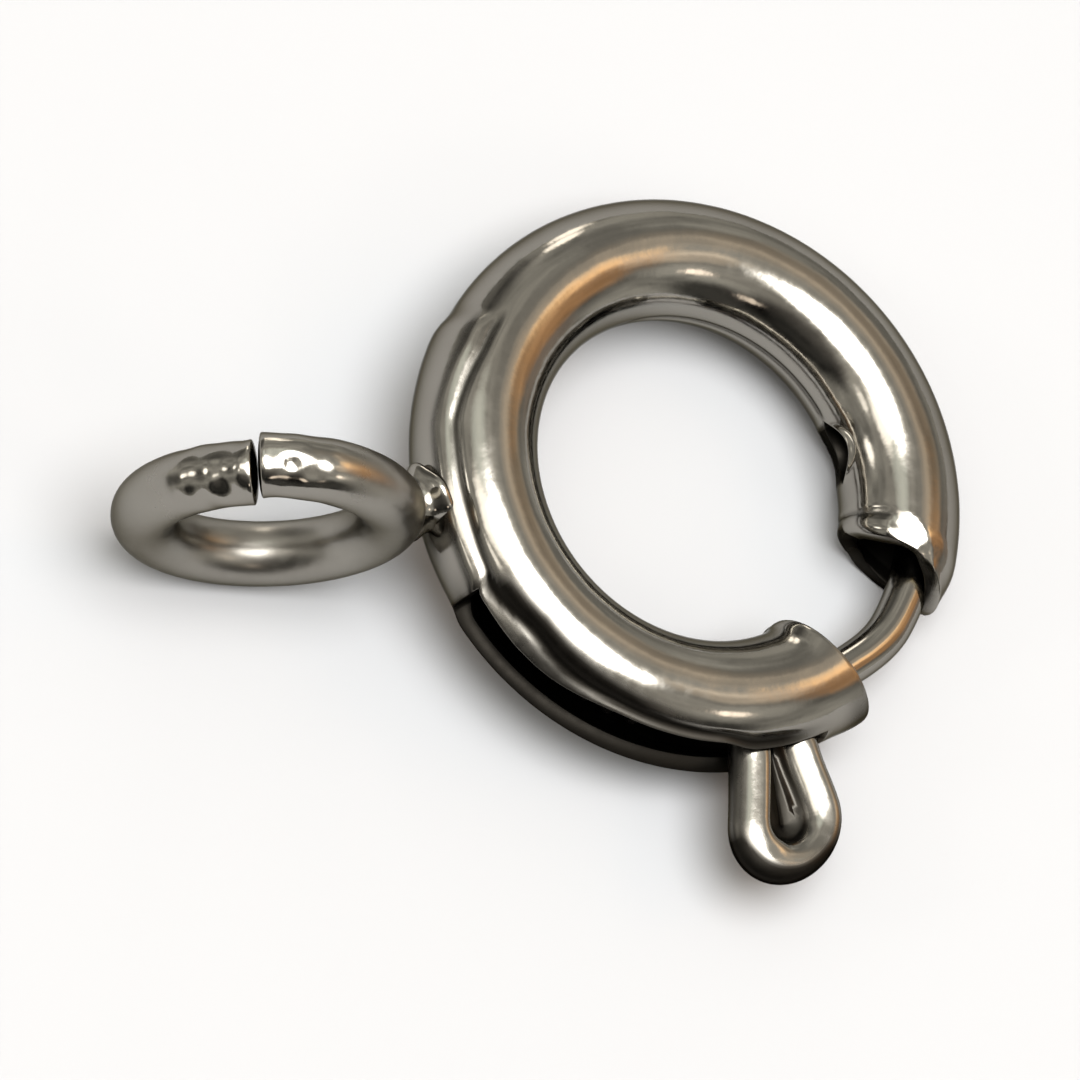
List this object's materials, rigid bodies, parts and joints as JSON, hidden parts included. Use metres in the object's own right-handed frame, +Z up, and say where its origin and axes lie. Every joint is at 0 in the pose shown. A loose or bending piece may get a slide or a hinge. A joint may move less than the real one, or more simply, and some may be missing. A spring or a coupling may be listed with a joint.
{
  "type": "spring ring clasp",
  "caption": "Round jewellery clasp: a hollow ring of tube with a sprung sliding bolt that closes its mouth, a thumb trigger and a soldered attaching eye.",
  "frame": {"origin": "middle of the bounding box, on the table that the clasp lies on", "axes": "+Z up from the table; +X along the clasp, from the eye towards the ring; the trigger points to -Y"},
  "size_m": [0.0095, 0.0075, 0.0032],
  "materials": {
    "polished_steel": "polished stainless steel with fine handling marks",
    "spring_wire": "drawn stainless spring wire"
  },
  "bodies": {
    "ring": {"ring_body": "polished_steel"},
    "bolt": {"bolt": "polished_steel", "spring": "spring_wire"}
  },
  "joints": [
    {"name": "bolt_slide", "type": "hinge", "parent": "ring", "child": "bolt", "pos_m": [0.0017, 0.00067, 0.00097], "axis": [-0.1337, 0, -0.991], "range_deg": [0, 60], "stiffness_Nm_per_rad": 0.00002, "springref_deg": -17.19}
  ]
}
